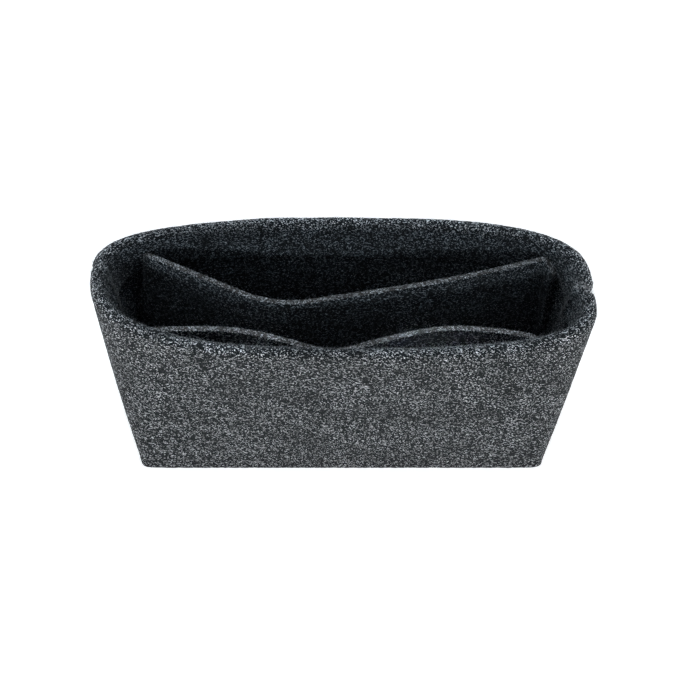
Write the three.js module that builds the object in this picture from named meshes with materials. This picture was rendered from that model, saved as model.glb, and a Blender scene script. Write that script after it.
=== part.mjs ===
// Purse organizer insert: an open tub of thick felt.
// It has a slip pocket along the back and two pockets along the front.
// Millimetres, +Z up, +X to the right of the front and +Y towards the back.
// The origin is under the middle of the base.
import * as THREE from "three";

// Driving dimensions of the tub
const HEIGHT = 86;
const RIM_LENGTH = 231;
const RIM_DEPTH = 93.4;
const BASE_LENGTH = 191.5;
const BASE_DEPTH = 76.5;
const BASE_SQUARENESS = 34; // exponent of the base's superellipse: 2 is an ellipse, and more is squarer
const BACK_LEFT_SQUARENESS = 2.1; // the same for each corner of the rim
const BACK_RIGHT_SQUARENESS = 4.8;
const FRONT_LEFT_SQUARENESS = 3;
const FRONT_RIGHT_SQUARENESS = 2.3;
const RIM_SKEW = 2.1; // the rim's left end lies this far back, and its right end this far forward
const RIM_END_SKEW = 9.8; // the same, but it fades quickly from the ends to the middle

// Felt, and the gap between pieces that lie on each other
const FELT = 3.3;
const CLEARANCE = 0.3;
const BASE_CLEARANCE = 0.6; // more round the base, because the corners of the walls soften upwards
const BASE_CORNER = 5; // radius of the corners of the base panel
const LOWER_EDGE_ROUND = 1.2;

// Hem: the top of each wall is folded inwards and pressed flat
const HEM_DEPTH = 19.5;
const HEM_SLIT = 0.4;
const PANEL_STEP = 24; // height over which a panel that is sewn over the hem comes down onto the wall

// Side seams, where the two walls meet and draw in a little towards the rim
const RIGHT_SEAM_BACK = 6; // the right seam lies this far behind the middle of the base
const LEFT_SEAM_PINCH = 0.4;
const RIGHT_SEAM_PINCH = 1.7;
const SEAM_PINCH_REACH = 2.6;

// Divider: a panel sewn to the two ends of the tub, with a soft bend and a long slack sag to the right of it
const DIVIDER_DROP = 7; // from the rim down to its top edge
const DIVIDER_LEFT_BACK = 21.6; // its ends lie this far behind the middle of the base
const DIVIDER_RIGHT_BACK = 30.4;
const DIVIDER_FLANGE = 5.5;
const DIVIDER_THREAD_EDGE = 1.6; // from the edge of a flange to its stitches
const DIVIDER_FLANGE_BEND = 2.6;
const FLANGE_GAP = 0.6; // a flat flange needs more room on the curved wall than the pieces that follow it
const DIVIDER_BEND_X = -30;
const DIVIDER_BEND_Y = -8.7;
const DIVIDER_BEND_REACH = 18;
const DIVIDER_SAG_X = 52;
const DIVIDER_SAG_Y = 8.9;
const DIVIDER_SAG_REACH = 30;

// Pocket strip: sewn to the front wall along three upright lines
const POCKET_DROP = 7;
const POCKET_END_GAP = 0.8; // from the end of the strip to the end of the tub, at the foot
const POCKET_CENTRE_X = -6;
const POCKET_MARGIN = 2;
const LEFT_POCKET_BULGE = 11.4;
const RIGHT_POCKET_BULGE = 13.9;
const LEFT_POCKET_LEAN = 1.1; // above 1 the bulge leans outwards from the centre seam
const RIGHT_POCKET_LEAN = 1.3;
const POCKET_FOOT_SHARE = 0.8; // of the bulge that is left at the foot of the strip
const POCKET_CENTRE_FULLNESS = 1.1; // exponent of the bulge at the centre seam: lower is fuller
const LEFT_POCKET_END_FULLNESS = 0.85;
const RIGHT_POCKET_END_FULLNESS = 0.6;

// Sewing thread
const THREAD = 0.8;
const STITCH = 4;
const STITCH_RISE = 0.25;
const SEAM_ZIGZAG = 2; // reach of a side seam's stitches to each side of it
const BASE_STITCH = 12;
const BASE_ZIGZAG = 2.2;
const SEAM_END = 4; // from the end of a seam to its first stitch
const THREAD_STEP = 6; // height over which a side seam's thread comes down from the hem onto the wall

// How finely the surfaces are cut
const WALL_COLUMNS = 48;
const BASE_CORNER_STEPS = 6;
const CORNER_CROWDING = 0.8;
const LOWER_WALL_LEVELS = 5;
const HEM_LEVELS = 3;
const FOLD_STEPS = 6;
const LOWER_PANEL_LEVELS = 4;
const UPPER_PANEL_LEVELS = 3;
const POCKET_COLUMNS = 18;
const BEND_STEPS = 8;
const THREAD_SIDES = 5;

// Sizes that follow from these
const FOLD_RADIUS = FELT + HEM_SLIT / 2;
const FOLD_START = HEIGHT - FOLD_RADIUS;
const HEM_EDGE = HEIGHT - HEM_DEPTH;
const STEP_TOP = HEM_EDGE - STITCH; // what is sewn over the edge of the hem starts to leave it here
const STEP_BOTTOM = STEP_TOP - PANEL_STEP;
const PANEL_FOOT = FELT + THREAD + 2 * CLEARANCE;
const SEAM_GAP_ANGLE = Math.asin(CLEARANCE / BASE_LENGTH);
const LEFT_SEAM_ANGLE = Math.PI;
const RIGHT_SEAM_ANGLE = Math.atan2(RIGHT_SEAM_BACK, BASE_LENGTH / 2);
const DIVIDER_THREAD_REACH = DIVIDER_FLANGE - DIVIDER_THREAD_EDGE;
const POCKET_END_X = BASE_LENGTH / 2 - FELT - CLEARANCE - FELT / 2 - POCKET_END_GAP;
const POCKET_SEAM_X = POCKET_END_X - POCKET_MARGIN;

const felt = { color: 0x4f5154, roughness: 0.97, metalness: 0 };
const thread = { color: 0x2b2c2f, roughness: 0.8, metalness: 0 };

const { lerp, clamp } = THREE.MathUtils;

// How far the two walls are drawn in at an angle and height, near a side seam.
function seamPinch(angle, height) {
  const onRight = Math.cos(angle) > 0;
  const depth = onRight ? RIGHT_SEAM_PINCH : LEFT_SEAM_PINCH;
  const seam = onRight ? RIGHT_SEAM_ANGLE : LEFT_SEAM_ANGLE;
  const away = (Math.sin(angle - seam) * RIM_LENGTH) / 2 / SEAM_PINCH_REACH;
  return (depth * Math.exp(-away * away) * height) / HEIGHT;
}

// The rim's exponent in the quarter of the tub that holds a direction.
function rimSquareness(x, y) {
  if (y > 0) return x < 0 ? BACK_LEFT_SQUARENESS : BACK_RIGHT_SQUARENESS;
  return x < 0 ? FRONT_LEFT_SQUARENESS : FRONT_RIGHT_SQUARENESS;
}

// The level section of the tub at a height and a distance inwards from its outer face.
// Each quarter is a superellipse, and its exponent falls from the base to the rim, so the corners soften.
function section(height, inset, squareness) {
  const share = height / HEIGHT;
  return {
    halfLength: lerp(BASE_LENGTH, RIM_LENGTH, share) / 2 - inset,
    halfDepth: lerp(BASE_DEPTH, RIM_DEPTH, share) / 2 - inset,
    power: BASE_SQUARENESS * (squareness / BASE_SQUARENESS) ** Math.sqrt(share),
  };
}

// A point moved by the skew of the rim, which grows from nothing at the base.
function skewed(x, y, height) {
  const end = (2 * x) / RIM_LENGTH;
  const back = -RIM_SKEW * end - RIM_END_SKEW * end ** 3;
  return new THREE.Vector3(x, y + (back * height) / HEIGHT, height);
}

// A point of the tub at an angle round it.
function skin(angle, height, inset) {
  const aimX = Math.cos(angle);
  const aimY = Math.sin(angle);
  const drawnIn = inset + seamPinch(angle, height);
  const { halfLength, halfDepth, power } = section(height, drawnIn, rimSquareness(aimX, aimY));
  const alongX = Math.abs(aimX / halfLength) ** power;
  const alongY = Math.abs(aimY / halfDepth) ** power;
  const reach = (alongX + alongY) ** (-1 / power);
  return skewed(reach * aimX, reach * aimY, height);
}

// A point of the tub's front at a place along X, moved back by the given bulge.
function frontSkin(x, height, inset, bulge = 0) {
  const { halfLength, halfDepth, power } = section(height, inset, rimSquareness(x, -1));
  const y = -halfDepth * (1 - Math.abs(x / halfLength) ** power) ** (1 / power);
  return skewed(x, y + bulge, height);
}

// The angle at a phase round the tub, with the columns crowded at the corners.
function crowdedAngle(phase) {
  const crowded = phase + (CORNER_CROWDING * Math.sin(4 * phase)) / 4;
  const angle = Math.atan2(BASE_DEPTH * Math.sin(crowded), BASE_LENGTH * Math.cos(crowded));
  const turns = Math.round((phase - angle) / (2 * Math.PI));
  return angle + turns * 2 * Math.PI;
}

// Thickness of the wall and its hem at a height, as what is sewn to the inner face meets it.
// What is sewn leaves the hem and comes down onto the wall over the given step.
function backing(height, step) {
  const share = clamp((height - STEP_TOP + step) / step, 0, 1);
  return FELT + share * (FELT + HEM_SLIT);
}

// Evenly spaced numbers, with both ends.
function steps(from, to, count) {
  return Array.from({ length: count + 1 }, (_, i) => lerp(from, to, i / count));
}

// A closed solid through a row of equal loops of points. The flat loop is the outline of its two ends.
function loft(loops, flatLoop) {
  const count = flatLoop.length;
  const lids = THREE.ShapeUtils.triangulateShape(flatLoop, []);
  const index = [];
  for (let row = 0; row + 1 < loops.length; row += 1) {
    for (let i = 0; i < count; i += 1) {
      const a = row * count + i;
      const b = row * count + ((i + 1) % count);
      index.push(a, b + count, b, a, a + count, b + count);
    }
  }
  const last = (loops.length - 1) * count;
  for (const [a, b, c] of lids) {
    index.push(a, c, b);
    index.push(last + a, last + b, last + c);
  }
  const geometry = new THREE.BufferGeometry().setFromPoints(loops.flat());
  geometry.setIndex(index);
  geometry.computeVertexNormals();
  return geometry;
}

function piece(name, geometry, finish) {
  const mesh = new THREE.Mesh(geometry, new THREE.MeshStandardMaterial(finish));
  mesh.name = name;
  return mesh;
}

// Profile of a wall as inset and height: up the outer face, over the fold, down the hem and the inner face.
function wallProfile() {
  const lower = steps(LOWER_EDGE_ROUND, HEM_EDGE, LOWER_WALL_LEVELS);
  const upper = steps(HEM_EDGE, FOLD_START, HEM_LEVELS);
  const turn = steps(0, Math.PI, FOLD_STEPS).slice(1, -1);
  const face = [...lower, ...upper.slice(1)];
  const profile = [[LOWER_EDGE_ROUND, 0]];
  for (const height of face) profile.push([0, height]);
  for (const a of turn) {
    profile.push([FOLD_RADIUS * (1 - Math.cos(a)), FOLD_START + FOLD_RADIUS * Math.sin(a)]);
  }
  for (const height of upper.toReversed()) profile.push([2 * FOLD_RADIUS, height]);
  for (const height of upper) profile.push([FELT + HEM_SLIT, height]);
  profile.push([FOLD_RADIUS, FOLD_START + HEM_SLIT / 2]);
  for (const height of face.toReversed()) profile.push([FELT, height]);
  profile.push([FELT, 0]);
  return profile;
}

// One wall, which runs round the tub from the angle of one seam to that of the next.
function wall(fromSeam, toSeam) {
  const start = fromSeam + SEAM_GAP_ANGLE;
  const end = toSeam - SEAM_GAP_ANGLE;
  const profile = wallProfile();
  const around = steps(0, 4 * Math.PI, 4 * WALL_COLUMNS).map(crowdedAngle);
  const between = around.filter((angle) => angle > start + SEAM_GAP_ANGLE && angle < end - SEAM_GAP_ANGLE);
  const loops = [start, ...between, end].map((angle) => {
    return profile.map(([inset, height]) => skin(angle, height, inset));
  });
  return loft(loops, profile.map(([inset, height]) => new THREE.Vector2(inset, height)));
}

// The base lies inside the walls, flush with their lower edges.
function basePanel() {
  const drawnIn = FELT + BASE_CLEARANCE + BASE_CORNER;
  const endX = BASE_LENGTH / 2 - drawnIn;
  const sideY = BASE_DEPTH / 2 - drawnIn;
  const shape = new THREE.Shape();
  shape.absarc(endX, sideY, BASE_CORNER, 0, Math.PI / 2);
  shape.absarc(-endX, sideY, BASE_CORNER, Math.PI / 2, Math.PI);
  shape.absarc(-endX, -sideY, BASE_CORNER, Math.PI, 1.5 * Math.PI);
  shape.absarc(endX, -sideY, BASE_CORNER, 1.5 * Math.PI, 2 * Math.PI);
  return new THREE.ExtrudeGeometry(shape, {
    depth: FELT,
    curveSegments: BASE_CORNER_STEPS,
    bevelEnabled: false,
  });
}

// Heights at which a sewn panel is cut across, with the step off the hem among them.
function panelHeights(top) {
  const lower = steps(PANEL_FOOT, STEP_BOTTOM, LOWER_PANEL_LEVELS);
  const upper = steps(STEP_TOP, top, UPPER_PANEL_LEVELS);
  return [...lower, ...upper];
}

// An upright panel of felt whose middle line, seen from above, is given for each height.
function panel(middleLine, top) {
  const heights = panelHeights(top);
  const lines = heights.map(middleLine);
  const side = (level, i, out) => {
    const line = lines[level];
    const before = line[Math.max(i - 1, 0)];
    const after = line[Math.min(i + 1, line.length - 1)];
    const along = new THREE.Vector2().subVectors(after, before).normalize();
    const x = line[i].x + along.y * out;
    const y = line[i].y - along.x * out;
    return new THREE.Vector3(x, y, heights[level]);
  };
  const levels = heights.map((_, level) => level);
  const loops = lines[0].map((_, i) => [
    ...levels.map((level) => side(level, i, FELT / 2)),
    ...levels.toReversed().map((level) => side(level, i, -FELT / 2)),
  ]);
  const flat = [
    ...heights.map((height) => new THREE.Vector2(-FELT / 2, height)),
    ...heights.toReversed().map((height) => new THREE.Vector2(FELT / 2, height)),
  ];
  return loft(loops, flat);
}

// A line through points whose inner corners are rounded, each from a given reach along its two legs.
function roundedLine(points, reaches) {
  const line = [points[0]];
  reaches.forEach((reach, i) => {
    const corner = points[i + 1];
    const from = corner.clone().add(points[i].clone().sub(corner).setLength(reach));
    const to = corner.clone().add(points[i + 2].clone().sub(corner).setLength(reach));
    line.push(...new THREE.QuadraticBezierCurve(from, corner, to).getPoints(BEND_STEPS));
  });
  line.push(points.at(-1));
  return line;
}

// The angle of a place on the right or left end, at a distance behind the middle of the base.
function rightEndAngle(back) {
  return Math.atan2(back, BASE_LENGTH / 2);
}

function leftEndAngle(back) {
  return Math.PI - rightEndAngle(back);
}

// The divider from above: a flange that turns back on the left end, the legs between its soft bends,
// and a flange that turns forward on the right end.
function dividerLine(height) {
  const onWall = (angle) => {
    const point = skin(angle, height, backing(height, PANEL_STEP) + FLANGE_GAP + FELT / 2);
    return new THREE.Vector2(point.x, point.y);
  };
  const corners = [
    onWall(leftEndAngle(DIVIDER_LEFT_BACK + DIVIDER_FLANGE)),
    onWall(leftEndAngle(DIVIDER_LEFT_BACK)),
    new THREE.Vector2(DIVIDER_BEND_X, DIVIDER_BEND_Y),
    new THREE.Vector2(DIVIDER_SAG_X, DIVIDER_SAG_Y),
    onWall(rightEndAngle(DIVIDER_RIGHT_BACK)),
    onWall(rightEndAngle(DIVIDER_RIGHT_BACK - DIVIDER_FLANGE)),
  ];
  const reaches = [DIVIDER_FLANGE_BEND, DIVIDER_BEND_REACH, DIVIDER_SAG_REACH, DIVIDER_FLANGE_BEND];
  return roundedLine(corners, reaches);
}

// One pocket's stations from the centre seam outwards, as places along X with the bulge there.
function pocketStations(outerX, bulge, lean, endFullness) {
  return steps(0, 1, POCKET_COLUMNS).map((share) => {
    const fullness = lerp(POCKET_CENTRE_FULLNESS, endFullness, share);
    return {
      x: lerp(POCKET_CENTRE_X, outerX, share),
      bulge: bulge * Math.max(Math.sin(Math.PI * share ** lean), 0) ** fullness,
    };
  });
}

// The pocket strip from above: a margin, the left pocket, the centre seam, the right pocket and a margin.
function pocketLine(height) {
  const leftMargin = { x: -POCKET_END_X, bulge: 0 };
  const rightMargin = { x: POCKET_END_X, bulge: 0 };
  const leftShape = [LEFT_POCKET_BULGE, LEFT_POCKET_LEAN, LEFT_POCKET_END_FULLNESS];
  const rightShape = [RIGHT_POCKET_BULGE, RIGHT_POCKET_LEAN, RIGHT_POCKET_END_FULLNESS];
  const left = pocketStations(-POCKET_SEAM_X, ...leftShape).toReversed();
  const right = pocketStations(POCKET_SEAM_X, ...rightShape).slice(1);
  const top = HEIGHT - POCKET_DROP;
  const growth = lerp(POCKET_FOOT_SHARE, 1, (height - PANEL_FOOT) / (top - PANEL_FOOT));
  const flush = backing(height, PANEL_STEP) + CLEARANCE + FELT / 2;
  return [leftMargin, ...left, ...right, rightMargin].map(({ x, bulge }) => {
    const point = frontSkin(x, height, flush, bulge * growth);
    return new THREE.Vector2(point.x, point.y);
  });
}

// A sewing thread along a row of points.
function threadAlong(points, stepCount) {
  const circle = new THREE.EllipseCurve(0, 0, THREAD / 2, THREAD / 2);
  const round = new THREE.Shape(circle.getPoints(THREAD_SIDES).slice(0, -1));
  const path = new THREE.CatmullRomCurve3(points);
  return new THREE.ExtrudeGeometry(round, { steps: stepCount, extrudePath: path, bevelEnabled: false });
}

// A straight upright row of stitches: the thread rises between the holes that draw it in.
function stitchRow(from, to, place) {
  const count = Math.round((to - from) / STITCH);
  const heights = steps(from, to, 2 * count);
  const points = heights.map((height, i) => place(height, (i % 2) * STITCH_RISE));
  return threadAlong(points, 2 * count);
}

// Stitches of the pocket strip, on the outer face of the front wall.
function pocketSeam(x) {
  const place = (height, rise) => frontSkin(x, height, -CLEARANCE - THREAD / 2 - rise);
  return stitchRow(SEAM_END, HEIGHT - POCKET_DROP - SEAM_END, place);
}

// Stitches through one of the divider's flanges, on its inner face.
function dividerSeam(angle) {
  const place = (height, rise) => {
    const inset = backing(height, PANEL_STEP) + FELT + 2 * FLANGE_GAP + THREAD / 2;
    return skin(angle, height, inset + rise);
  };
  return stitchRow(PANEL_FOOT + SEAM_END, HEIGHT - DIVIDER_DROP - SEAM_END, place);
}

// Zigzag stitches across a side seam, on the inside.
function sideSeam(angle) {
  const from = PANEL_FOOT + SEAM_END;
  const to = HEIGHT - FOLD_RADIUS - SEAM_END;
  const count = Math.round((to - from) / STITCH) * 2;
  const aside = Math.asin((2 * SEAM_ZIGZAG) / BASE_LENGTH);
  const points = steps(from, to, count).map((height, i) => {
    const beside = angle + (i % 2 ? aside : -aside);
    const overRidge = seamPinch(angle, height) - seamPinch(beside, height);
    const under = backing(height, THREAD_STEP) + CLEARANCE + THREAD / 2;
    return skin(beside, height, under + overRidge);
  });
  return threadAlong(points, 2 * count);
}

// Zigzag stitches round the inside of the base, beside the walls.
function baseSeam() {
  const around = 2 * (BASE_LENGTH + BASE_DEPTH);
  const count = 2 * Math.round(around / BASE_STITCH);
  const height = FELT + CLEARANCE + THREAD / 2;
  const points = steps(0, 2 * Math.PI, count).slice(0, -1).map((phase, i) => {
    const inset = FELT + CLEARANCE + THREAD / 2 + (i % 2) * BASE_ZIGZAG;
    return skin(crowdedAngle(phase + Math.PI / count), height, inset);
  });
  return threadAlong(points, count * 2);
}

const insert = new THREE.Group();
insert.add(
  piece("front_wall", wall(LEFT_SEAM_ANGLE, RIGHT_SEAM_ANGLE + 2 * Math.PI), felt),
  piece("back_wall", wall(RIGHT_SEAM_ANGLE, LEFT_SEAM_ANGLE), felt),
  piece("base_panel", basePanel(), felt),
  piece("divider_panel", panel(dividerLine, HEIGHT - DIVIDER_DROP), felt),
  piece("pocket_strip", panel(pocketLine, HEIGHT - POCKET_DROP), felt),
  piece("left_side_seam", sideSeam(LEFT_SEAM_ANGLE), thread),
  piece("right_side_seam", sideSeam(RIGHT_SEAM_ANGLE), thread),
  piece("base_seam", baseSeam(), thread),
  piece("pocket_left_seam", pocketSeam(-POCKET_SEAM_X), thread),
  piece("pocket_centre_seam", pocketSeam(POCKET_CENTRE_X), thread),
  piece("pocket_right_seam", pocketSeam(POCKET_SEAM_X), thread),
  piece("divider_left_seam", dividerSeam(leftEndAngle(DIVIDER_LEFT_BACK + DIVIDER_THREAD_REACH)), thread),
  piece("divider_right_seam", dividerSeam(rightEndAngle(DIVIDER_RIGHT_BACK - DIVIDER_THREAD_REACH)), thread),
);

export default insert;
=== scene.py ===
# %% [markdown]
# # A purse organizer insert in felt
# The insert is an open tub that stands inside a handbag and keeps small things in order.
# It is sewn from one thick charcoal felt: two walls with a folded rim, a base, a divider from end to
# end and a strip that makes two pockets along the front.
# The solids of the part are loaded first, because they fix every size and place.

# %% Load the part
import math
import random

import bmesh
import bpy
import numpy as np
from mathutils import Matrix, Vector, noise


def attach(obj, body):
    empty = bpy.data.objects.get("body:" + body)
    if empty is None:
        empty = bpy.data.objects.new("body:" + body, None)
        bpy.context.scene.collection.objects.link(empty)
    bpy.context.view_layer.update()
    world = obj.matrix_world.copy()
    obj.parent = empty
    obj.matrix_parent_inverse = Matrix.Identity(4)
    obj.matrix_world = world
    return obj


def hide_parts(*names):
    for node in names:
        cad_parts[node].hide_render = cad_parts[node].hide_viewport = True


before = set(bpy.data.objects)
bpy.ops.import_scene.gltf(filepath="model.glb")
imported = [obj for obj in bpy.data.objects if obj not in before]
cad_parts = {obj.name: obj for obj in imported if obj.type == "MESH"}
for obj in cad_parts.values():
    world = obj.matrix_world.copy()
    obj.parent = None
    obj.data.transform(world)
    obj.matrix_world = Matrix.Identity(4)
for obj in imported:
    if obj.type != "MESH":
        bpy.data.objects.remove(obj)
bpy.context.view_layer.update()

# %% [markdown]
# ## Sizes
# Blender works in metres, so a helper turns millimetres into metres and the numbers stay readable.
# The sizes are those of the solids: the same tub, the same felt and the same seams.

# %% Sizes of the tub
def mm(size):
    return size / 1000


HEIGHT = mm(86)
RIM_LENGTH, RIM_DEPTH = mm(231), mm(93.4)
BASE_LENGTH, BASE_DEPTH = mm(191.5), mm(76.5)
BASE_SQUARENESS = 34
BACK_LEFT_SQUARENESS, BACK_RIGHT_SQUARENESS = 2.1, 4.8
FRONT_LEFT_SQUARENESS, FRONT_RIGHT_SQUARENESS = 3, 2.3
RIM_SKEW, RIM_END_SKEW = mm(2.1), mm(9.8)
FELT = mm(3.3)
CLEARANCE = mm(0.3)
print("rim", RIM_LENGTH, "by", RIM_DEPTH, "m, base", BASE_LENGTH, "by", BASE_DEPTH, "m")

# %% Sizes of the folded rim and of the side seams
HEM, HEM_SLIT = mm(19.5), mm(0.4)
FOLD_MIDDLE = (FELT + HEM_SLIT) / 2
FOLD_START = HEIGHT - FELT / 2 - FOLD_MIDDLE
FOLD_ARC = math.pi * FOLD_MIDDLE
HEM_EDGE = HEIGHT - HEM
LEFT_SEAM_PINCH, RIGHT_SEAM_PINCH = mm(0.4), mm(1.2)
SEAM_PINCH_REACH = mm(2.6)
RIGHT_SEAM_BACK = mm(6)
LEFT_SEAM_ANGLE = math.pi
RIGHT_SEAM_ANGLE = math.atan2(RIGHT_SEAM_BACK, BASE_LENGTH / 2)
SEAM_PRESS_ANGLE = math.asin(CLEARANCE / BASE_LENGTH)
print("the fold starts at", round(1000 * FOLD_START, 1), "mm and the hem ends at", 1000 * HEM_EDGE, "mm")

# %% [markdown]
# ## The surface of the tub
# Seen from above, the base is almost a rectangle and the rim is a soft oval that leans askew, as felt
# does once it has been folded flat. Each quarter is a superellipse, and only the exponent differs: a
# high one gives a square corner and 2 gives an ellipse. So one formula gives a point of the wall at
# any angle and height, and any distance in from its outer face. A slow wave keeps it from looking
# like moulded plastic. Everything that is sewn to a wall uses the same formula, so it follows it.

# %% Level sections of the tub
def mix(a, b, share):
    return a + (b - a) * share


def rim_squareness(x, y):
    if y > 0:
        return BACK_LEFT_SQUARENESS if x < 0 else BACK_RIGHT_SQUARENESS
    return FRONT_LEFT_SQUARENESS if x < 0 else FRONT_RIGHT_SQUARENESS


def section(height, inset, squareness):
    share = max(height, 0) / HEIGHT
    half_length = mix(BASE_LENGTH, RIM_LENGTH, share) / 2 - inset
    half_depth = mix(BASE_DEPTH, RIM_DEPTH, share) / 2 - inset
    return half_length, half_depth, BASE_SQUARENESS * (squareness / BASE_SQUARENESS) ** math.sqrt(share)


def skewed(x, y, height):
    end = 2 * x / RIM_LENGTH
    back = -RIM_SKEW * end - RIM_END_SKEW * end ** 3
    return Vector((x, y + back * height / HEIGHT, height))


front_right = rim_squareness(1, -1)
foot_power, rim_power = (section(height, 0, front_right)[2] for height in (0, HEIGHT))
print("the front right corner's power is", foot_power, "at the foot and", round(rim_power, 1), "at the rim")

# %% [markdown]
# Where the two walls meet, the seam draws them in. The draw is soft and broad, and on the right a sharp
# nip lies in its middle, where the two folded ends turn towards each other. The ends are pressed into
# each other by a hair, so no light comes through the seam.

# %% A point of the tub
WAVE = mm(0.7)
WAVES_ROUND, WAVES_UP = 2.4, 14
LEFT_SEAM_NIP, RIGHT_SEAM_NIP = mm(0.1), mm(1.4)
SEAM_NIP_REACH = mm(1)


def seam_pinch(angle, height):
    on_right = math.cos(angle) > 0
    pinch, nip = (RIGHT_SEAM_PINCH, RIGHT_SEAM_NIP) if on_right else (LEFT_SEAM_PINCH, LEFT_SEAM_NIP)
    away = abs(math.sin(angle - (RIGHT_SEAM_ANGLE if on_right else LEFT_SEAM_ANGLE))) * RIM_LENGTH / 2
    soft = pinch * math.exp(-(away / SEAM_PINCH_REACH) ** 2)
    return (soft + nip * math.exp(-away / SEAM_NIP_REACH)) * height / HEIGHT


def wave(angle, height):
    place = Vector((WAVES_ROUND * math.cos(angle), WAVES_ROUND * math.sin(angle), WAVES_UP * height))
    return WAVE * noise.noise(place) * height / HEIGHT


def tub_point(angle, height, inset):
    aim_x, aim_y = math.cos(angle), math.sin(angle)
    drawn_in = inset + seam_pinch(angle, height) - wave(angle, height)
    half_length, half_depth, power = section(height, drawn_in, rim_squareness(aim_x, aim_y))
    reach = (abs(aim_x / half_length) ** power + abs(aim_y / half_depth) ** power) ** (-1 / power)
    return skewed(reach * aim_x, reach * aim_y, height)


def front_point(x, height, inset, bulge=0.0):
    half_length, half_depth, power = section(height, inset, rim_squareness(x, -1))
    y = -half_depth * (1 - abs(x / half_length) ** power) ** (1 / power)
    return skewed(x, y - wave(math.atan2(y, x), height) + bulge, height)


print("front of the rim in mm:", [round(1000 * c, 1) for c in tub_point(-math.pi / 2, HEIGHT, 0)])

# %% [markdown]
# ## Cutting a blank
# Each felt piece starts as the maker's does: a flat blank, cut to size. A grid gives the blank enough
# points to bend, solidify gives it the thickness of the felt, and a small bevel takes the sharpness
# off its edges. While it is still flat, its UV map is drawn in metres, so the fibres of the material
# keep their true size when the blank is bent. An attribute marks where the felt is painted paler: along
# the cut edges, partly for their paler fibre ends and partly as a painted highlight where light catches
# them, and later over the fold of the rim as a painted highlight. A second one marks the cut edges,
# where the ends of the fibres look more even than their sides do.

# %% A flat blank of felt
EDGE_WEAR = mm(0.4)
SHARP_ANGLE = 1
# How much paler the cut edges are painted: partly their own paler fibre ends, partly a painted highlight.
CUT_PALE_AND_HIGHLIGHT = 0.62
CUT_EVEN = 0.22


def soften(shape):
    cut = [edge for edge in shape.edges if edge.calc_face_angle(0) > SHARP_ANGLE]
    bmesh.ops.bevel(shape, geom=cut, offset=EDGE_WEAR, segments=3, profile=0.5,
                    affect="EDGES", material=-1, clamp_overlap=True)


def draw_flat_map(blank):
    flat_map = blank.loops.layers.uv.new("flat")
    highlight_and_pale_edge = blank.verts.layers.float.new("highlight_and_pale_edge")
    cut = blank.verts.layers.float.new("cut")
    for face in blank.faces:
        lean = [abs(c) for c in face.normal]
        across = lean.index(max(lean))
        for loop in face.loops:
            x, y, z = loop.vert.co
            loop[flat_map].uv = ((y, z), (x, z), (x, y))[across]
            # The cut edges are marked for the paler tone: partly pale fibre ends, partly a painted
            # highlight.
            if across == 1 and abs(z) < FELT / 2 - EDGE_WEAR / 2:
                loop.vert[highlight_and_pale_edge] = CUT_PALE_AND_HIGHLIGHT
                loop.vert[cut] = CUT_EVEN


def cut_blank(column_places, row_places):
    blank = bmesh.new()
    columns, rows = len(column_places) - 1, len(row_places) - 1
    bmesh.ops.create_grid(blank, x_segments=columns, y_segments=rows, size=0.5)
    for vert in blank.verts:
        vert.co.x = column_places[round((vert.co.x + 0.5) * columns)]
        vert.co.y = row_places[round((vert.co.y + 0.5) * rows)]
    bmesh.ops.solidify(blank, geom=blank.faces[:], thickness=FELT)
    middle = sum(vert.co.z for vert in blank.verts) / len(blank.verts)
    bmesh.ops.translate(blank, verts=blank.verts[:], vec=(0, 0, -middle))
    bmesh.ops.recalc_face_normals(blank, faces=blank.faces[:])
    soften(blank)
    draw_flat_map(blank)
    return blank


sample = cut_blank(np.linspace(0, mm(50), 11), np.linspace(0, mm(30), 7))
print("a blank of 50 by 30 mm has", len(sample.faces), "faces")
sample.free()

# %% [markdown]
# ## Bending a blank
# A bent piece is the same blank with each point moved: its place along the blank, up the blank and
# through the thickness tells where it goes on the tub. A fine roughness is added at the end, because
# felt has no hard outline. The finished mesh becomes an object at the origin that rides on the part
# and stands for its solid.

# %% From a blank to a finished piece
ROUGHNESS = mm(0.16)
ROUGH_GRAIN = 620


def show_piece(shape, name, solid):
    bmesh.ops.recalc_face_normals(shape, faces=shape.faces[:])
    for face in shape.faces:
        face.smooth = True
    mesh = bpy.data.meshes.new(name)
    shape.to_mesh(mesh)
    shape.free()
    made = bpy.data.objects.new(name, mesh)
    bpy.context.scene.collection.objects.link(made)
    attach(made, "root")
    if solid:
        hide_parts(solid)
    print(name, "has", len(mesh.polygons), "faces")
    return made


def bend(blank, place):
    for vert in blank.verts:
        vert.co = place(*vert.co)
    blank.normal_update()
    for vert in blank.verts:
        vert.co += vert.normal * ROUGHNESS * noise.noise(vert.co * ROUGH_GRAIN)


print("the felt is rough by", 1000 * ROUGHNESS, "mm")

# %% [markdown]
# ## The walls
# Two walls go half way round each and meet at the ends. The top of each blank is folded inwards over
# a small radius and hangs down inside as a hem. The folded profile could be drawn and swept, but
# bending the blank keeps the felt's length, as the real fold does. Rows of points crowd at the fold,
# where the felt turns sharply. The outside of the fold is stretched, so its map is stretched too, and
# a painted highlight lightens its crest, stronger along the back, where more light catches it, than along
# the front.

# %% The folded profile
def fold_profile(run, out):
    if run < FOLD_START:
        return FELT / 2 - out, run
    past = run - FOLD_START
    if past < FOLD_ARC:
        turn = past / FOLD_MIDDLE
        radius = FOLD_MIDDLE + out
        return FELT / 2 + FOLD_MIDDLE - radius * math.cos(turn), FOLD_START + radius * math.sin(turn)
    return FELT / 2 + 2 * FOLD_MIDDLE + out, FOLD_START - (past - FOLD_ARC)


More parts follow.
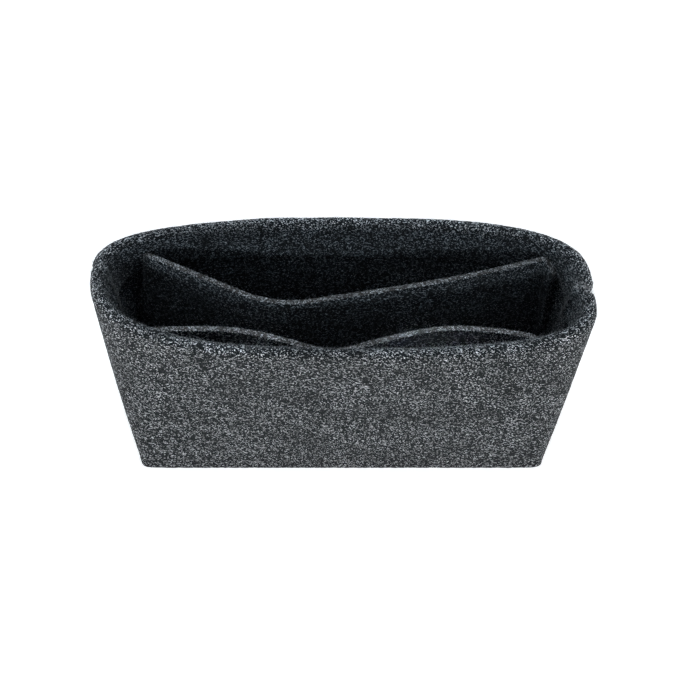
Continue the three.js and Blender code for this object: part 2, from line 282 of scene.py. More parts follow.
WALL_RUN = FOLD_START + FOLD_ARC + FOLD_START - HEM_EDGE
UPRIGHT_ROWS, FOLD_ROWS, HEM_ROWS = 52, 15, 17
wall_rows = np.concatenate([
    np.linspace(0, FOLD_START, UPRIGHT_ROWS),
    np.linspace(FOLD_START, FOLD_START + FOLD_ARC, FOLD_ROWS)[1:],
    np.linspace(FOLD_START + FOLD_ARC, WALL_RUN, HEM_ROWS)[1:],
])
print("a wall's blank is", round(1000 * WALL_RUN, 1), "mm from its foot to the edge of its hem")

# %% The map and the painted highlight of the fold
# A painted highlight along the crest of the fold, stronger on the back wall than on the front.
FOLD_HIGHLIGHT, FOLD_HIGHLIGHT_SWING = 0.55, 0.45
CREST_PLACE, CREST_SHARPNESS = -0.2, 4


def stretch_fold_map(blank):
    flat_map = blank.loops.layers.uv["flat"]
    stretch = (FELT / 2) / FOLD_MIDDLE
    for face in blank.faces:
        for loop in face.loops:
            on_fold = min(max(loop.vert.co.y - FOLD_START, 0), FOLD_ARC)
            loop[flat_map].uv.y += on_fold * stretch


# Paints the highlight onto the outer face of the fold, strongest near its crest.
def paint_fold_highlight(blank, length, more):
    highlight_and_pale_edge = blank.verts.layers.float["highlight_and_pale_edge"]
    for vert in blank.verts:
        most = FOLD_HIGHLIGHT + more * math.sin(math.pi * vert.co.x / length)
        away = 2 * (vert.co.y - FOLD_START) / FOLD_ARC - 1 - CREST_PLACE
        if vert.co.z > 0:
            vert[highlight_and_pale_edge] = max(vert[highlight_and_pale_edge], most * math.exp(-CREST_SHARPNESS * away ** 2))


print("the map of the fold is stretched over", round(1000 * FOLD_ARC, 1), "mm of felt")

# %% [markdown]
# The wall's columns are spaced evenly along its curve, so that the felt isn't stretched. On the
# front, three rows of stitches hold the pocket strip. They pull the outer face in, so the blank is
# squeezed there, and only its outer side moves.

# %% Even columns round the tub, and the grooves of the stitches
POCKET_END_GAP, POCKET_THREAD_EDGE, POCKET_DROP = mm(0.8), mm(2), mm(7)
POCKET_CENTRE_X = mm(-6)
POCKET_END_X = BASE_LENGTH / 2 - 1.5 * FELT - CLEARANCE - POCKET_END_GAP
POCKET_SEAM_X = POCKET_END_X - POCKET_THREAD_EDGE
POCKET_TOP = HEIGHT - POCKET_DROP
SEAM_END, STITCH = mm(4), mm(4)
GROOVE_DEPTH, GROOVE_REACH, PUCKER = mm(0.45), mm(1.1), 0.25
COLUMN_HEIGHT, COLUMN_STEPS = 0.7 * HEIGHT, 4000
pocket_seams = (-POCKET_SEAM_X, POCKET_CENTRE_X, POCKET_SEAM_X)


def groove(point):
    if point.y > 0:
        return 0.0
    deep = max(math.exp(-((point.x - x) / GROOVE_REACH) ** 2) for x in pocket_seams)
    pucker = 1 - PUCKER - PUCKER * math.cos(2 * math.pi * (point.z - SEAM_END) / STITCH)
    foot = min(max((point.z - SEAM_END / 2) / SEAM_END, 0), 1)
    top = min(max((POCKET_TOP - point.z) / SEAM_END, 0), 1)
    return GROOVE_DEPTH * deep * pucker * foot * top


def line_runs(line):
    return np.concatenate([[0], np.cumsum(np.linalg.norm(np.diff(line, axis=0), axis=1))])


def even_columns(start, end):
    turns = np.linspace(start, end, COLUMN_STEPS + 1)
    line = np.array([tub_point(turn, COLUMN_HEIGHT, FELT / 2) for turn in turns])
    return line_runs(line), turns


print("pocket seams at", [round(1000 * x, 1) for x in pocket_seams], "mm")

# %% The two walls
WALL_COLUMNS = 300


def make_wall(name, from_seam, to_seam, more_highlight):
    runs, turns = even_columns(from_seam - SEAM_PRESS_ANGLE, to_seam + SEAM_PRESS_ANGLE)

    def place(x, y, out):
        angle = float(np.interp(x, runs, turns))
        inset, height = fold_profile(y, out)
        if y < FOLD_START and out > 0:
            inset += groove(tub_point(angle, height, inset)) * out / (FELT / 2)
        return tub_point(angle, height, inset)

    blank = cut_blank(np.linspace(0, runs[-1], WALL_COLUMNS + 1), wall_rows)
    stretch_fold_map(blank)
    paint_fold_highlight(blank, runs[-1], more_highlight)
    bend(blank, place)
    return show_piece(blank, name + "_felt", name), float(runs[-1])


# The painted highlight of the fold is made weaker on the front wall and stronger on the back wall.
front_wall, front_length = make_wall("front_wall", LEFT_SEAM_ANGLE, RIGHT_SEAM_ANGLE + 2 * math.pi,
                                     more_highlight=-FOLD_HIGHLIGHT_SWING)
back_wall, back_length = make_wall("back_wall", RIGHT_SEAM_ANGLE, LEFT_SEAM_ANGLE,
                                   more_highlight=FOLD_HIGHLIGHT_SWING)
print("the walls are", round(1000 * front_length), "and", round(1000 * back_length), "mm long")

# %% [markdown]
# ## The base
# The base lies inside the walls, flush with their lower edges, and its edges are pressed against them.
# It is a flat rectangle of felt with rounded corners. A blank has square corners and more points than a
# flat piece needs, so a cube is scaled to size and its upright edges are bevelled.

# %% The base
BASE_PRESS = mm(0.1)
BASE_INSET = FELT - BASE_PRESS
BASE_CORNER = mm(3.5)


def make_base():
    base = bmesh.new()
    bmesh.ops.create_cube(base, size=1)
    size = (BASE_LENGTH - 2 * BASE_INSET, BASE_DEPTH - 2 * BASE_INSET, FELT)
    bmesh.ops.scale(base, vec=size, verts=base.verts[:])
    upright = [edge for edge in base.edges if abs(edge.verts[0].co.z - edge.verts[1].co.z) > FELT / 2]
    bmesh.ops.bevel(base, geom=upright, offset=BASE_CORNER, segments=8, profile=0.5,
                    affect="EDGES", material=-1)
    soften(base)
    draw_flat_map(base)
    bmesh.ops.translate(base, vec=(0, 0, FELT / 2), verts=base.verts[:])
    return show_piece(base, "base_panel_felt", "base_panel")


base_panel = make_base()

# %% [markdown]
# ## Upright panels
# The divider and the pocket strip stand upright. Each is described by the line that it makes when
# seen from above, which changes a little with the height because the tub widens upwards. A helper
# walks along that line, and the thickness of the felt goes to the side of it. Where a panel is sewn
# over the edge of the hem, it comes down from the hem onto the wall over a slope. A panel's corners
# can be trimmed: there its height is a share of the full height.

# %% How far in a panel stands
STEP_TOP = HEM_EDGE - STITCH
PANEL_STEP, THREAD_STEP = mm(24), mm(6)
THREAD = mm(0.8)
PANEL_FOOT = FELT + THREAD + 2 * CLEARANCE


def backing(height, step):
    share = min(max((height - STEP_TOP + step) / step, 0), 1)
    return FELT + share * (FELT + HEM_SLIT)


print("a panel stands on the base at", round(1000 * PANEL_FOOT, 1), "mm")

# %% A panel along a line seen from above
def make_panel(name, line_at, top, columns, rows, trim=lambda share: 1.0):
    lines = {}

    def place(x, y, out):
        height = PANEL_FOOT + y * trim(x / width)
        if height not in lines:
            line = np.array(line_at(height))
            lines[height] = line, line_runs(line), np.gradient(line, axis=0)
        line, runs, aims = lines[height]
        run = x / width * runs[-1]
        middle = [float(np.interp(run, runs, line[:, axis])) for axis in (0, 1)]
        aim = Vector([float(np.interp(run, runs, aims[:, axis])) for axis in (0, 1)]).normalized()
        return Vector((middle[0] - aim.y * out, middle[1] + aim.x * out, height))

    width = float(line_runs(np.array(line_at(top)))[-1])
    blank = cut_blank(np.linspace(0, width, columns + 1), np.linspace(0, top - PANEL_FOOT, rows + 1))
    highlight_and_pale_edge = blank.verts.layers.float["highlight_and_pale_edge"]
    for vert in blank.verts:
        # Trimmed corners get none of the painted highlight or the paler cut edge.
        if trim(vert.co.x / width) < 1:
            vert[highlight_and_pale_edge] = 0.0
    bend(blank, place)
    print(name, "blank:", round(1000 * width), "by", round(1000 * (top - PANEL_FOOT)), "mm")
    return show_piece(blank, name + "_felt", name), width


# %% [markdown]
# ## The divider
# The divider runs from end to end: it is sewn to the ends near the back, and between them it comes to
# the middle of the tub. At each end a narrow flange is sewn flat to the wall: the left one turns back
# and the right one turns forwards. The divider is longer than the straight way, so it has a soft bend
# and a slack sag. A cloth simulation could find its line, but stiff felt keeps the line that its seams
# give it, so the line is drawn: it has a corner for each bend, rounded by a curve. The upper corners of
# the flanges are clipped and get neither the paler cut edge nor the painted highlight, so that no pale
# flange stands out.

# %% The divider's line
DIVIDER_DROP = mm(7)
DIVIDER_TOP = HEIGHT - DIVIDER_DROP
DIVIDER_LEFT_BACK, DIVIDER_RIGHT_BACK = mm(21.6), mm(30.4)
DIVIDER_FLANGE, DIVIDER_FLANGE_BEND = mm(5.5), mm(2.6)
DIVIDER_BEND, DIVIDER_BEND_REACH = Vector((mm(-30), mm(-8.7))), mm(18)
DIVIDER_SAG, DIVIDER_SAG_REACH = Vector((mm(52), mm(8.9))), mm(30)
FLANGE_GAP = mm(0.6)
CORNER_STEPS = 14


def right_end(back):
    return math.atan2(back, BASE_LENGTH / 2)


def left_end(back):
    return math.pi - right_end(back)


def rounded_line(points, reaches):
    line = [points[0]]
    for before, corner, after, reach in zip(points, points[1:], points[2:], reaches):
        start = corner + (before - corner).normalized() * reach
        end = corner + (after - corner).normalized() * reach
        for share in np.linspace(0, 1, CORNER_STEPS + 1):
            line.append(start.lerp(corner, share).lerp(corner.lerp(end, share), share))
    return [*line, points[-1]]


def divider_line(height):
    inset = backing(height, PANEL_STEP) + FLANGE_GAP + FELT / 2
    turns = (left_end(DIVIDER_LEFT_BACK + DIVIDER_FLANGE), left_end(DIVIDER_LEFT_BACK),
             right_end(DIVIDER_RIGHT_BACK), right_end(DIVIDER_RIGHT_BACK - DIVIDER_FLANGE))
    left_tip, left, right, right_tip = (tub_point(turn, height, inset).to_2d() for turn in turns)
    corners = [left_tip, left, DIVIDER_BEND, DIVIDER_SAG, right, right_tip]
    reaches = [DIVIDER_FLANGE_BEND, DIVIDER_BEND_REACH, DIVIDER_SAG_REACH, DIVIDER_FLANGE_BEND]
    return [tuple(point) for point in rounded_line(corners, reaches)]


print("the divider's line has", len(divider_line(DIVIDER_TOP)), "points")

# %% The divider
FLANGE_SHARE = 0.032
FLANGE_CLIP = mm(6.5)


def clip_flanges(share):
    past = max(FLANGE_SHARE - share, share - 1 + FLANGE_SHARE, 0) / FLANGE_SHARE
    return 1 - past * FLANGE_CLIP / (DIVIDER_TOP - PANEL_FOOT)


divider, divider_length = make_panel("divider_panel", divider_line, DIVIDER_TOP,
                                     columns=220, rows=56, trim=clip_flanges)

# %% [markdown]
# ## The pocket strip
# One strip makes both pockets: it is sewn to the front wall at its two ends and a little left of the
# middle, and it has more length than the wall, so it bulges inwards between the seams. The bulge of
# each pocket is a power of a sine wave that leans to one side, because felt bends in one long curve.

# %% The pocket strip
POCKET_LINE_STEPS = 180
LEFT_POCKET = mm(11.4), 1.1, 0.85
RIGHT_POCKET = mm(13.9), 1.3, 0.6
POCKET_CENTRE_FULLNESS = 1.1
POCKET_FOOT_SHARE = 0.8


def pocket_bulge(x):
    on_left = x < POCKET_CENTRE_X
    bulge, lean, end_fullness = LEFT_POCKET if on_left else RIGHT_POCKET
    outer = -POCKET_SEAM_X if on_left else POCKET_SEAM_X
    share = min((x - POCKET_CENTRE_X) / (outer - POCKET_CENTRE_X), 1)
    fullness = mix(POCKET_CENTRE_FULLNESS, end_fullness, share)
    return bulge * max(math.sin(math.pi * share ** lean), 0) ** fullness


def pocket_line(height):
    growth = mix(POCKET_FOOT_SHARE, 1, (height - PANEL_FOOT) / (POCKET_TOP - PANEL_FOOT))
    flush = backing(height, PANEL_STEP) + CLEARANCE + FELT / 2
    places = np.linspace(-POCKET_END_X, POCKET_END_X, POCKET_LINE_STEPS + 1)
    return [tuple(front_point(x, height, flush, pocket_bulge(x) * growth).to_2d()) for x in places]


pocket_strip, strip_length = make_panel("pocket_strip", pocket_line, POCKET_TOP, columns=170, rows=58)

# %% [markdown]
# ## Stitches
# Thick felt swallows its thread: each stitch is a short bead that is sunk in the felt at both ends.
# A sphere stretched along the stitch gives that shape with few faces. A row of them makes a seam,
# and the seam is one piece, as its thread is.

# %% One stitch, and a row of stitches
STITCH_GAP = 0.06


def sew(seam, start, end):
    along = end - start
    turn = along.to_track_quat("Z", "X").to_matrix().to_4x4()
    size = Matrix.Diagonal((THREAD / 2, THREAD / 2, along.length / 2, 1))
    place = Matrix.Translation((start + end) / 2) @ turn @ size
    bmesh.ops.create_uvsphere(seam, u_segments=8, v_segments=6, radius=1, matrix=place)


def upright_row(seam, low, high, place):
    count = round((high - low) / STITCH)
    heights = np.linspace(low, high, count + 1)
    for lower, upper in zip(heights, heights[1:]):
        sew(seam, place(mix(lower, upper, STITCH_GAP)), place(mix(lower, upper, 1 - STITCH_GAP)))


print("a stitch is", 1000 * STITCH, "mm long, and its thread", 1000 * THREAD, "mm thick")

# %% Seams of the pocket strip and of the divider
STITCH_SUNK = mm(0.6)


def pocket_seam(name, x):
    seam = bmesh.new()
    low, high = SEAM_END, POCKET_TOP - SEAM_END
    upright_row(seam, low, high, lambda height: front_point(x, height, STITCH_SUNK))
    return show_piece(seam, name + "_thread", name)


def divider_seam(name, angle):
    seam = bmesh.new()
    low, high = PANEL_FOOT + SEAM_END, DIVIDER_TOP - SEAM_END - FLANGE_CLIP / 2

    def place(height):
        return tub_point(angle, height, backing(height, PANEL_STEP) + FELT + 2 * FLANGE_GAP)

    upright_row(seam, low, high, place)
    return show_piece(seam, name + "_thread", name)


FLANGE_THREAD_EDGE = mm(1.6)
THREAD_REACH = DIVIDER_FLANGE - FLANGE_THREAD_EDGE
seams = [
    pocket_seam("pocket_left_seam", -POCKET_SEAM_X),
    pocket_seam("pocket_centre_seam", POCKET_CENTRE_X),
    pocket_seam("pocket_right_seam", POCKET_SEAM_X),
    divider_seam("divider_left_seam", left_end(DIVIDER_LEFT_BACK + THREAD_REACH)),
    divider_seam("divider_right_seam", right_end(DIVIDER_RIGHT_BACK - THREAD_REACH)),
]

# %% Zigzag seams at the sides and round the base
SEAM_ZIGZAG, BASE_ZIGZAG = mm(2), mm(2.2)
SIDE_STITCHES, BASE_STITCHES = 36, 132
ZIGZAG_GAP = 0.04


def zigzag(seam, points):
    for start, end in zip(points, points[1:]):
        sew(seam, start.lerp(end, ZIGZAG_GAP), start.lerp(end, 1 - ZIGZAG_GAP))


def side_seam(name, angle):
    seam = bmesh.new()
    aside = math.asin(2 * SEAM_ZIGZAG / BASE_LENGTH)
    heights = np.linspace(PANEL_FOOT + SEAM_END, FOLD_START - SEAM_END, SIDE_STITCHES + 1)
    points = []
    for count, height in enumerate(heights):
        beside = angle + (aside if count % 2 else -aside)
        ridge = seam_pinch(angle, height) - seam_pinch(beside, height)
        points.append(tub_point(beside, height, backing(height, THREAD_STEP) + CLEARANCE + ridge))
    zigzag(seam, points)
    return show_piece(seam, name + "_thread", name)


def base_seam(name):
    seam = bmesh.new()
    runs, turns = even_columns(0, 2 * math.pi)
    places = np.interp(np.linspace(0, runs[-1], BASE_STITCHES + 1), runs, turns)
    near = FELT + CLEARANCE + THREAD / 2
    points = []
    for count, turn in enumerate(places):
        points.append(tub_point(turn, FELT + THREAD / 4, near + (count % 2) * BASE_ZIGZAG))
    zigzag(seam, points)
    return show_piece(seam, name + "_thread", name)


seams += [
    side_seam("left_side_seam", LEFT_SEAM_ANGLE),
    side_seam("right_side_seam", RIGHT_SEAM_ANGLE),
    base_seam("base_seam"),
]

# %% [markdown]
# ## Loose fibres
# Felt is a mat of fibres, and some of them stand off its surface. They soften the outline of the rim
# and of the cut edges, and where the folded walls meet they fray into tufts. Hair could be grown on the
# felt, but a mesh stays one piece like the others. Each fibre is two slim three-sided cones, one on the
# other with a kink between them, so thousands of them stay light. They are made in small batches that
# are joined, because adding to a large mesh is slow. A seeded random generator makes the same fibres
# each time.

# %% One loose fibre
chance = random.Random(11)
FIBRE_WIDTH, TUFT_WIDTH = mm(0.045), mm(0.2)
FIBRE_TAPER = 0.55
FIBRE_SHORTEST, FIBRE_LONGEST = 0.35, 0.95
FIBRE_BATCH = 60


def add_fibre(batch, root, normal, long, width):
    for slim in (1.0, FIBRE_TAPER):
        aim = normal + Vector([chance.uniform(-1, 1) for _ in range(3)])
        aim = aim.normalized() * long * chance.uniform(FIBRE_SHORTEST, FIBRE_LONGEST)
        turn = aim.to_track_quat("Z", "X").to_matrix().to_4x4()
        place = Matrix.Translation(root + aim / 2) @ turn
        bmesh.ops.create_cone(batch, cap_ends=False, segments=3, radius1=width * slim,
                              radius2=width * slim * FIBRE_TAPER, depth=aim.length, matrix=place)
        root = root + aim


def grow(fuzz, count, pick_root, long=mm(1), width=FIBRE_WIDTH):
    batch_mesh = bpy.data.meshes.new("batch")
    for start in range(0, count, FIBRE_BATCH):
        batch = bmesh.new()
        for _ in range(min(FIBRE_BATCH, count - start)):
            add_fibre(batch, *pick_root(), long, width)
        batch.to_mesh(batch_mesh)
        batch.free()
        fuzz.from_mesh(batch_mesh)
    bpy.data.meshes.remove(batch_mesh)


print("a loose fibre is", 2000 * FIBRE_WIDTH, "mm thick, and a tuft", 2000 * TUFT_WIDTH, "mm")

# %% Where the fibres stand
SEAM_FRAY = 0.02
FRAY_FROM, FRAY_DEEP, TUFT_DEEP = 0.1, 1.6, 0.9
EDGE_SPREAD = 0.7
all_runs, all_turns = even_columns(0, 2 * math.pi)


def on_wall(low, high):
    angle = float(np.interp(chance.uniform(0, all_runs[-1]), all_runs, all_turns))
    run = chance.uniform(low, high)
    inset, height = fold_profile(run, FELT / 2)
    above_inset, above_height = fold_profile(run, FELT / 2 + mm(1))
    root = tub_point(angle, height, inset)
    return root, (tub_point(angle, above_height, above_inset) - root).normalized()


def on_seam(seam_angle, deep):
    angle = chance.gauss(seam_angle, SEAM_FRAY)
    inset, height = fold_profile(FOLD_START + FOLD_ARC * chance.uniform(FRAY_FROM, deep), FELT / 2)
    return tub_point(angle, height, inset), Vector((-math.cos(angle) / 2, 0, 1))


def on_edge(line, runs, top):
    run = chance.uniform(0, runs[-1])
    x, y = (float(np.interp(run, runs, [point[axis] for point in line])) for axis in (0, 1))
    aside = Vector((chance.uniform(-1, 1), chance.uniform(-1, 1), 0)) * FELT / 2
    return Vector((x, y, top)) + aside * EDGE_SPREAD, Vector((0, 0, 1))


def grow_edge(fuzz, count, line, top):
    runs = line_runs(np.array(line))
    grow(fuzz, count, lambda: on_edge(line, runs, top))


print("the walls are", round(1000 * all_runs[-1]), "mm long all round")

# %% Growing the fibres
WALL_FIBRES, FOLD_FIBRES, STRAY_FIBRES, EDGE_FIBRES = 2400, 3200, 14, 450
STRAY_LENGTH, FRAY_LENGTH, TUFT_LENGTH = mm(2.4), mm(1.6), mm(2.2)
LEFT_FRAY, RIGHT_FRAY, LEFT_TUFTS, RIGHT_TUFTS = 40, 70, 10, 50
FIBRES_FROM, STRAYS_BELOW = mm(2.5), mm(20)
fuzz = bmesh.new()
grow(fuzz, WALL_FIBRES, lambda: on_wall(FIBRES_FROM, FOLD_START))
grow(fuzz, FOLD_FIBRES, lambda: on_wall(FOLD_START, FOLD_START + FOLD_ARC))
grow(fuzz, STRAY_FIBRES, lambda: on_wall(FOLD_START - STRAYS_BELOW, FOLD_START), long=STRAY_LENGTH)
grow_edge(fuzz, EDGE_FIBRES, divider_line(DIVIDER_TOP), DIVIDER_TOP)
grow_edge(fuzz, EDGE_FIBRES, pocket_line(POCKET_TOP), POCKET_TOP)
for angle, count in ((LEFT_SEAM_ANGLE, LEFT_FRAY), (RIGHT_SEAM_ANGLE, RIGHT_FRAY)):
    grow(fuzz, count, lambda: on_seam(angle, FRAY_DEEP), long=FRAY_LENGTH)
for angle, count in ((LEFT_SEAM_ANGLE, LEFT_TUFTS), (RIGHT_SEAM_ANGLE, RIGHT_TUFTS)):
    grow(fuzz, count, lambda: on_seam(angle, TUFT_DEEP), long=TUFT_LENGTH, width=TUFT_WIDTH)
loose_fibres = show_piece(fuzz, "loose_fibres", None)

# %% [markdown]
# ## The felt's finish
# The felt is a blend of pale and dark fibres, so close up it is a mat of short curved strands and from
# a step back it is a coarse speckle. A node group lays the strands: the cells of a Voronoi texture
# that is stretched along one direction look like short strands, each with a tone of its own, and
# several directions laid over each other look like a mat. A picture of felt would repeat and blur, and
# strands of mesh would be too many. The coordinates are bent a little first, so no strand is straight.

# %% Helpers for nodes
def add_node(tree, kind, inputs=None, **settings):
    made = tree.nodes.new(kind)
    for name, value in settings.items():
        setattr(made, name, value)
    for name, value in (inputs or {}).items():
        if isinstance(value, bpy.types.NodeSocket):
            tree.links.new(value, made.inputs[name])
        else:
            made.inputs[name].default_value = value
    return made


def calculate(tree, operation, a, b):
    return add_node(tree, "ShaderNodeMath", {0: a, 1: b}, operation=operation).outputs[0]


def rescale(tree, value, low, high, to_low=0.0, to_high=1.0):
    ends = {"Value": value, "From Min": low, "From Max": high, "To Min": to_low, "To Max": to_high}
    return add_node(tree, "ShaderNodeMapRange", ends).outputs[0]


def new_material(name, finish):
    material = bpy.data.materials.new(name)
    material.use_nodes = True
    shader = material.node_tree.nodes["Principled BSDF"]
    for socket, value in finish.items():
        shader.inputs[socket].default_value = value
    return material, material.node_tree, shader


print("the nodes are those of Blender", bpy.app.version_string)

# %% A node group for the mat of fibres
STRAND_LENGTH, STRAND_WIDTH = mm(0.55), mm(0.28)
STRAND_CURL, CURL_GRAIN = mm(2.2), 240
STRAND_EDGE, STRAND_BODY, STRAND_CREST = 0.62, 0.58, 0.1
STRAND_SHIFT = (7.3, 3.1)
UNDER_TONE = 0.4
STRAND_TURNS = (65, -35, 35, -20, 10)


def lay_strands(mat, place, number, turn):
    turned = add_node(mat, "ShaderNodeVectorRotate",
                      {"Vector": place, "Angle": math.radians(turn)}, rotation_type="Z_AXIS")
    combed = add_node(mat, "ShaderNodeMapping",
                      {"Vector": turned.outputs[0],
                       "Location": (STRAND_SHIFT[0] * number, STRAND_SHIFT[1] * number, 0),
                       "Scale": (1 / STRAND_LENGTH, 1 / STRAND_WIDTH, 1)})
    cells = add_node(mat, "ShaderNodeTexVoronoi", {"Vector": combed.outputs[0], "Scale": 1},
                     voronoi_dimensions="2D")
    tone = add_node(mat, "ShaderNodeSeparateColor", {"Color": cells.outputs["Color"]}).outputs[0]
    cover = rescale(mat, cells.outputs["Distance"], STRAND_EDGE, STRAND_BODY)
    return tone, cover, rescale(mat, cells.outputs["Distance"], STRAND_EDGE, STRAND_CREST)


def make_fibre_mat():
    mat = bpy.data.node_groups.new("fibre mat", "ShaderNodeTree")
    mat.interface.new_socket("Place", in_out="INPUT", socket_type="NodeSocketVector")
    mat.interface.new_socket("Tone", in_out="OUTPUT", socket_type="NodeSocketFloat")
    mat.interface.new_socket("Relief", in_out="OUTPUT", socket_type="NodeSocketFloat")
    place = add_node(mat, "NodeGroupInput").outputs["Place"]
    curl = add_node(mat, "ShaderNodeTexNoise", {"Vector": place, "Scale": CURL_GRAIN, "Detail": 1})
    bent = add_node(mat, "ShaderNodeVectorMath",
                    {0: curl.outputs["Color"], 1: (STRAND_CURL, STRAND_CURL, 0), 2: place},
                    operation="MULTIPLY_ADD").outputs[0]
    tone, relief = UNDER_TONE, 0.0
    for number, turn in enumerate(STRAND_TURNS):
        strand, cover, rise = lay_strands(mat, bent, number, turn)
        tone = add_node(mat, "ShaderNodeMix", {0: cover, 2: tone, 3: strand}).outputs[0]
        relief = add_node(mat, "ShaderNodeMix", {0: cover, 2: relief, 3: rise}).outputs[0]
    add_node(mat, "NodeGroupOutput", {"Tone": tone, "Relief": relief})
    return mat


fibre_mat = make_fibre_mat()
print("the fibre mat has", len(fibre_mat.nodes), "nodes")

# %% [markdown]
# The felt's material reads the flat map of the blank. Most strands are almost black and some are pale,
# which gives the speckle; the pale ones are neutral and the dark ones cool. A slow blotch keeps large
# faces from looking even, and where the attribute marks it the tone is lifted: a painted highlight over
# the fold of the rim, and on the cut edges partly their paler fibre ends and partly a painted highlight.
# On the cut edges an even tone is mixed in. The same strands raise the surface through a bump, and a
# little sheen stands for the light that fuzz catches.

# %% A ramp of tones
PALE_FROM = 0.25
DARK_HUE, PALE_HUE = (0.93, 1, 1.1), (1.02, 1, 1.005)


def tone_ramp(tree, value, tones):
    ramp = add_node(tree, "ShaderNodeValToRGB", {"Fac": value})
    stops = ramp.color_ramp.elements
    while len(stops) < len(tones):
        stops.new(0.5)
    for stop, (position, tone) in zip(stops, tones):
        share = min(tone / PALE_FROM, 1)
        stop.position = position
        stop.color = [tone * mix(dark, pale, share) for dark, pale in zip(DARK_HUE, PALE_HUE)] + [1]
    return ramp.outputs[0]


print("strands are neutral from a tone of", PALE_FROM)

# %% The felt
FELT_TONES = [(0.0, 0.001), (0.5, 0.006), (0.82, 0.016), (0.86, 0.24), (0.93, 0.63), (1.0, 0.79)]
CUT_TONE = (0.125, 0.1, 0.086, 1)
BLOTCH_GRAIN, BLOTCH_DARK, BLOTCH_PALE = 60, 0.62, 1.38
BLOTCH_FROM, BLOTCH_TO = 0.25, 0.75
# How far the painted highlight and the pale cut edges lift the tone.
HIGHLIGHT_LIFT = 2.6
BUMP_STRENGTH, FELT_RELIEF = 0.5, mm(0.3)
FELT_FINISH = {"Roughness": 0.95, "Specular IOR Level": 0.15, "Sheen Weight": 0.06, "Sheen Roughness": 0.6}


def make_felt():
    felt, tree, shader = new_material("charcoal felt", FELT_FINISH)
    flat = add_node(tree, "ShaderNodeUVMap", uv_map="flat").outputs[0]
    mat = add_node(tree, "ShaderNodeGroup", {"Place": flat}, node_tree=fibre_mat)
    tone = tone_ramp(tree, mat.outputs["Tone"], FELT_TONES)
    blotch = add_node(tree, "ShaderNodeTexNoise", {"Vector": flat, "Scale": BLOTCH_GRAIN, "Detail": 3})
    slow = rescale(tree, blotch.outputs[0], BLOTCH_FROM, BLOTCH_TO, BLOTCH_DARK, BLOTCH_PALE)
    cut = add_node(tree, "ShaderNodeAttribute", attribute_name="cut").outputs["Fac"]
    tone = add_node(tree, "ShaderNodeMix", {0: cut, 6: tone, 7: CUT_TONE}, data_type="RGBA").outputs[2]
    # The tone is lifted where the painted highlight and the pale cut edges are marked.
    highlight_and_pale_edge = add_node(tree, "ShaderNodeAttribute", attribute_name="highlight_and_pale_edge").outputs["Fac"]
    level = calculate(tree, "MULTIPLY", slow, rescale(tree, highlight_and_pale_edge, 0, 1, 1.0, HIGHLIGHT_LIFT))
    colour = add_node(tree, "ShaderNodeVectorMath", {0: tone, 3: level}, operation="SCALE")
    tree.links.new(colour.outputs[0], shader.inputs["Base Color"])
    bump = add_node(tree, "ShaderNodeBump",
                    {"Height": mat.outputs["Relief"], "Strength": BUMP_STRENGTH, "Distance": FELT_RELIEF})
    tree.links.new(bump.outputs[0], shader.inputs["Normal"])
    return felt


felt = make_felt()
for piece in (front_wall, back_wall, base_panel, divider, pocket_strip):
    piece.data.materials.append(felt)
print("felt material:", len(felt.node_tree.nodes), "nodes")

# %% [markdown]
# ## Thread and loose fibres
# The thread is a dark twisted yarn. Its plies could be modelled, but they are too fine to be seen one by
# one, so fine diagonal bands on Object coordinates give the twist. The loose fibres vary from dark to
# pale from place to place, as the strands of the felt do.

# %% The thread and the loose fibres
TWIST_GRAIN, FUZZ_GRAIN = 900, 500
TWIST_RELIEF = mm(0.1)
THREAD_TONES = [(0.2, 0.012), (0.9, 0.05)]
FUZZ_TONES = [(0.35, 0.04), (0.5, 0.25), (0.65, 0.9)]


def make_thread():
    thread, tree, shader = new_material("dark thread", {"Roughness": 0.7})
    place = add_node(tree, "ShaderNodeTexCoord").outputs["Object"]
    bands = {"Vector": place, "Scale": TWIST_GRAIN, "Distortion": 2.5, "Detail": 1}
    twist = add_node(tree, "ShaderNodeTexWave", bands, bands_direction="DIAGONAL").outputs["Fac"]
    tree.links.new(tone_ramp(tree, twist, THREAD_TONES), shader.inputs["Base Color"])
    bump = add_node(tree, "ShaderNodeBump",
                    {"Height": twist, "Strength": BUMP_STRENGTH, "Distance": TWIST_RELIEF})
    tree.links.new(bump.outputs[0], shader.inputs["Normal"])
    return thread


def make_fuzz():
    fibre, tree, shader = new_material("loose fibre", {"Roughness": 0.9})
    place = add_node(tree, "ShaderNodeTexCoord").outputs["Object"]
    spread = add_node(tree, "ShaderNodeTexNoise", {"Vector": place, "Scale": FUZZ_GRAIN, "Detail": 1})
    tree.links.new(tone_ramp(tree, spread.outputs[0], FUZZ_TONES), shader.inputs["Base Color"])
    return fibre


thread, fuzz_fibre = make_thread(), make_fuzz()
for seam in seams:
    seam.data.materials.append(thread)
loose_fibres.data.materials.append(fuzz_fibre)
print(len(seams), "seams have the material", thread.name)

# %% [markdown]
# ## What the pieces are cut from
# Every felt piece is a sheet, and its flat size is that of its blank.

lengths = (front_length, back_length, divider_length, strip_length)
print("lengths of the bent sheets in mm:", [round(1000 * length) for length in lengths])

# %% [markdown]
# ## Floor, light and camera
# The insert stands on a plain white floor. The floor glows only where the camera sees it, directly or
# in a reflection, so it comes out white, it still takes the shadow and its glow lights nothing. The
# world is white to the camera in the same way, and dim for the rest. One large light from above would
# fill the tub, so long low lights stand round it instead, their middles below the height of the rim: the
# outside is lit and the inside stays dark. A light higher up in front reaches over the rim to the hem,
# one at the front left reaches the divider and the right end, two narrow beams reach into the pockets,
# and a weak one overhead picks out the rim and the cut edges. Light inside a dark tub looks cool, so
# these are slightly blue.

